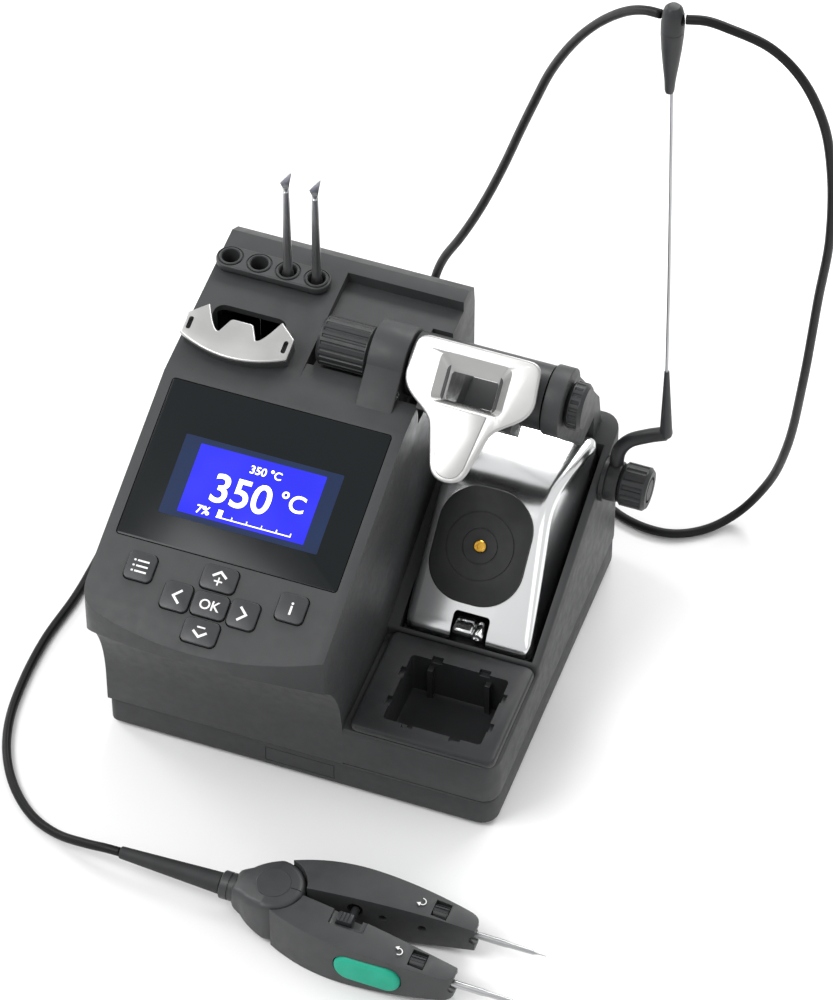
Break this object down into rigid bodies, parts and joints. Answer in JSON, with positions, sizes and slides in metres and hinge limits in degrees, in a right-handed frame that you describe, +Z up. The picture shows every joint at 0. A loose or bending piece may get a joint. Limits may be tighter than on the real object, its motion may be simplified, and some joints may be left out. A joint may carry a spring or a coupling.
{
  "type": "soldering iron station",
  "caption": "Bench soldering station: tilted console with display and keys, adjustable tool holder over a chromed stand, cleaning tray, cable arm and a cabled tweezers handpiece.",
  "frame": {"origin": "on the bench, under the middle of the whole set without its free cables", "axes": "+Z up; +Y to the back of the control unit; +X to the right of a person facing the console"},
  "size_m": [0.2735, 0.3013, 0.3125],
  "materials": {
    "housing": "moulded ABS, fine satin grain",
    "base": "moulded ABS, satin",
    "black_plastic": "glass-filled nylon, satin",
    "buttons": "smooth moulded key caps",
    "rubber": "matte elastomer",
    "glass": "smoked gloss window",
    "lcd": "blue backlit display",
    "circuit": "solder-masked board with parts",
    "winding": "taped copper winding",
    "cast_metal": "fine blasted light alloy",
    "chrome": "mirror plated sheet",
    "steel": "turned steel",
    "brass": "plain brass",
    "grip": "soft teal grip",
    "cable": "silicone jacket"
  },
  "bodies": {
    "control_unit": {"base_tray": "base", "foot_front_left": "rubber", "foot_front_right": "rubber", "foot_rear_left": "rubber", "foot_rear_right": "rubber", "main_housing": "housing", "rear_panel": "base", "display_glass": "glass", "lcd_module": "lcd", "keypad_mat": "rubber", "display_board": "circuit", "power_board": "circuit", "transformer": "winding", "mains_inlet": "black_plastic", "switch_frame": "black_plastic", "earth_jack": "brass", "tool_socket": "black_plastic", "cable_plug": "steel", "plug_relief": "rubber", "cartridge_rail": "housing", "cartridge_extractor": "cast_metal", "stand_cover": "chrome", "stand_pad": "rubber", "pad_screw": "brass", "cover_latch": "steel", "rear_cable": "cable", "tool_cable": "cable", "handle_rear": "black_plastic", "pivot_cap": "black_plastic", "handle_relief": "rubber"},
    "holder": {"holder_body": "black_plastic", "holder_face": "cast_metal"},
    "left_knob": {"left_clamp_knob": "black_plastic"},
    "right_knob": {"right_clamp_knob": "black_plastic"},
    "tray": {"cleaning_tray": "black_plastic"},
    "arm": {"cable_arm": "black_plastic", "spring_rod": "steel", "cable_clip": "black_plastic"},
    "arm_clamp": {"arm_knob": "black_plastic"},
    "cartridge_1": {"spare_cartridge_1": "steel"},
    "cartridge_2": {"spare_cartridge_2": "steel"},
    "rocker": {"power_rocker": "black_plastic"},
    "fuse": {"fuse_drawer": "black_plastic"},
    "near_jaw": {"near_arm": "black_plastic", "near_grip": "grip", "lock_rod": "black_plastic"},
    "far_jaw": {"far_arm": "black_plastic", "far_grip": "grip"},
    "near_roller": {"near_wheel": "black_plastic"},
    "far_roller": {"far_wheel": "black_plastic"},
    "near_cartridge": {"near_tip": "steel"},
    "far_cartridge": {"far_tip": "steel"},
    "lock": {"lock_slider": "black_plastic"},
    "key_menu": {"button_menu": "buttons"},
    "key_info": {"button_info": "buttons"},
    "key_up": {"button_up": "buttons"},
    "key_ok": {"button_ok": "buttons"},
    "key_down": {"button_down": "buttons"},
    "key_left": {"button_left": "buttons"},
    "key_right": {"button_right": "buttons"}
  },
  "joints": [
    {"name": "menu_press", "type": "slide", "parent": "control_unit", "child": "key_menu", "axis": [0, 0.3584, -0.9336], "range_m": [0, 0.0006], "stiffness_N_per_m": 400, "springref_m": -0.001},
    {"name": "info_press", "type": "slide", "parent": "control_unit", "child": "key_info", "axis": [0, 0.3584, -0.9336], "range_m": [0, 0.0006], "stiffness_N_per_m": 400, "springref_m": -0.001},
    {"name": "up_press", "type": "slide", "parent": "control_unit", "child": "key_up", "axis": [0, 0.3584, -0.9336], "range_m": [0, 0.0006], "stiffness_N_per_m": 400, "springref_m": -0.001},
    {"name": "ok_press", "type": "slide", "parent": "control_unit", "child": "key_ok", "axis": [0, 0.3584, -0.9336], "range_m": [0, 0.0006], "stiffness_N_per_m": 400, "springref_m": -0.001},
    {"name": "down_press", "type": "slide", "parent": "control_unit", "child": "key_down", "axis": [0, 0.3584, -0.9336], "range_m": [0, 0.0006], "stiffness_N_per_m": 400, "springref_m": -0.001},
    {"name": "left_press", "type": "slide", "parent": "control_unit", "child": "key_left", "axis": [0, 0.3584, -0.9336], "range_m": [0, 0.0006], "stiffness_N_per_m": 400, "springref_m": -0.001},
    {"name": "right_press", "type": "slide", "parent": "control_unit", "child": "key_right", "axis": [0, 0.3584, -0.9336], "range_m": [0, 0.0006], "stiffness_N_per_m": 400, "springref_m": -0.001},
    {"name": "holder_tilt", "type": "hinge", "parent": "control_unit", "child": "holder", "pos_m": [0.0172, 0.0697, 0.133], "axis": [1, 0, 0], "range_deg": [-15, 15]},
    {"name": "left_knob_turn", "type": "hinge", "parent": "control_unit", "child": "left_knob", "pos_m": [-0.0298, 0.0697, 0.133], "axis": [1, 0, 0], "range_deg": [-180, 180]},
    {"name": "right_knob_turn", "type": "hinge", "parent": "control_unit", "child": "right_knob", "pos_m": [0.0502, 0.0697, 0.133], "axis": [1, 0, 0], "range_deg": [-180, 180]},
    {"name": "tray_lift", "type": "slide", "parent": "control_unit", "child": "tray", "axis": [0, 0, 1], "range_m": [0, 0.03]},
    {"name": "cable_arm_tilt", "type": "hinge", "parent": "control_unit", "child": "arm", "pos_m": [0.0622, 0.0937, 0.069], "axis": [1, 0, 0], "range_deg": [-15, 15]},
    {"name": "arm_knob_turn", "type": "hinge", "parent": "control_unit", "child": "arm_clamp", "pos_m": [0.0702, 0.0937, 0.069], "axis": [1, 0, 0], "range_deg": [-180, 180]},
    {"name": "cartridge_1_pull", "type": "slide", "parent": "control_unit", "child": "cartridge_1", "axis": [0, 0, 1], "range_m": [0, 0.03]},
    {"name": "cartridge_2_pull", "type": "slide", "parent": "control_unit", "child": "cartridge_2", "axis": [0, 0, 1], "range_m": [0, 0.03]},
    {"name": "power_rocker_tilt", "type": "hinge", "parent": "control_unit", "child": "rocker", "pos_m": [-0.0698, 0.1129, 0.084], "axis": [1, 0, 0], "range_deg": [-18, 0]},
    {"name": "fuse_pull", "type": "slide", "parent": "control_unit", "child": "fuse", "axis": [0, 1, 0], "range_m": [0, 0.015]},
    {"name": "near_jaw_close", "type": "hinge", "parent": "control_unit", "child": "near_jaw", "pos_m": [-0.0048, -0.09774, 0.0118], "axis": [0, 0, 1], "range_deg": [0, 6.3], "stiffness_Nm_per_rad": 0.4, "springref_deg": -5.73},
    {"name": "far_jaw_close", "type": "hinge", "parent": "control_unit", "child": "far_jaw", "pos_m": [-0.0048, -0.09774, 0.0118], "axis": [0, 0, 1], "range_deg": [-6.3, 0], "stiffness_Nm_per_rad": 0.4, "springref_deg": 5.73},
    {"name": "near_wheel_turn", "type": "hinge", "parent": "near_jaw", "child": "near_roller", "pos_m": [0.05593, -0.11111, 0.0172], "axis": [0.9998, -0.0209, 0], "range_deg": [-30, 30]},
    {"name": "near_cartridge_turn", "type": "hinge", "parent": "near_jaw", "child": "near_cartridge", "pos_m": [0.06393, -0.11098, 0.0118], "axis": [0.9998, -0.0209, 0], "range_deg": [-78, 78]},
    {"name": "far_wheel_turn", "type": "hinge", "parent": "far_jaw", "child": "far_roller", "pos_m": [0.05644, -0.08692, 0.0172], "axis": [0.9998, -0.0209, 0], "range_deg": [-30, 30]},
    {"name": "far_cartridge_turn", "type": "hinge", "parent": "far_jaw", "child": "far_cartridge", "pos_m": [0.06443, -0.08739, 0.0118], "axis": [0.9998, -0.0209, 0], "range_deg": [-78, 78]},
    {"name": "lock_shift", "type": "slide", "parent": "near_jaw", "child": "lock", "axis": [0.9998, -0.0209, 0], "range_m": [0, 0.003]}
  ],
  "couplings": [
    {"joint": "far_jaw_close", "follows": "near_jaw_close", "ratio": -1},
    {"joint": "near_cartridge_turn", "follows": "near_wheel_turn", "ratio": -2.5},
    {"joint": "far_cartridge_turn", "follows": "far_wheel_turn", "ratio": -2.5}
  ]
}
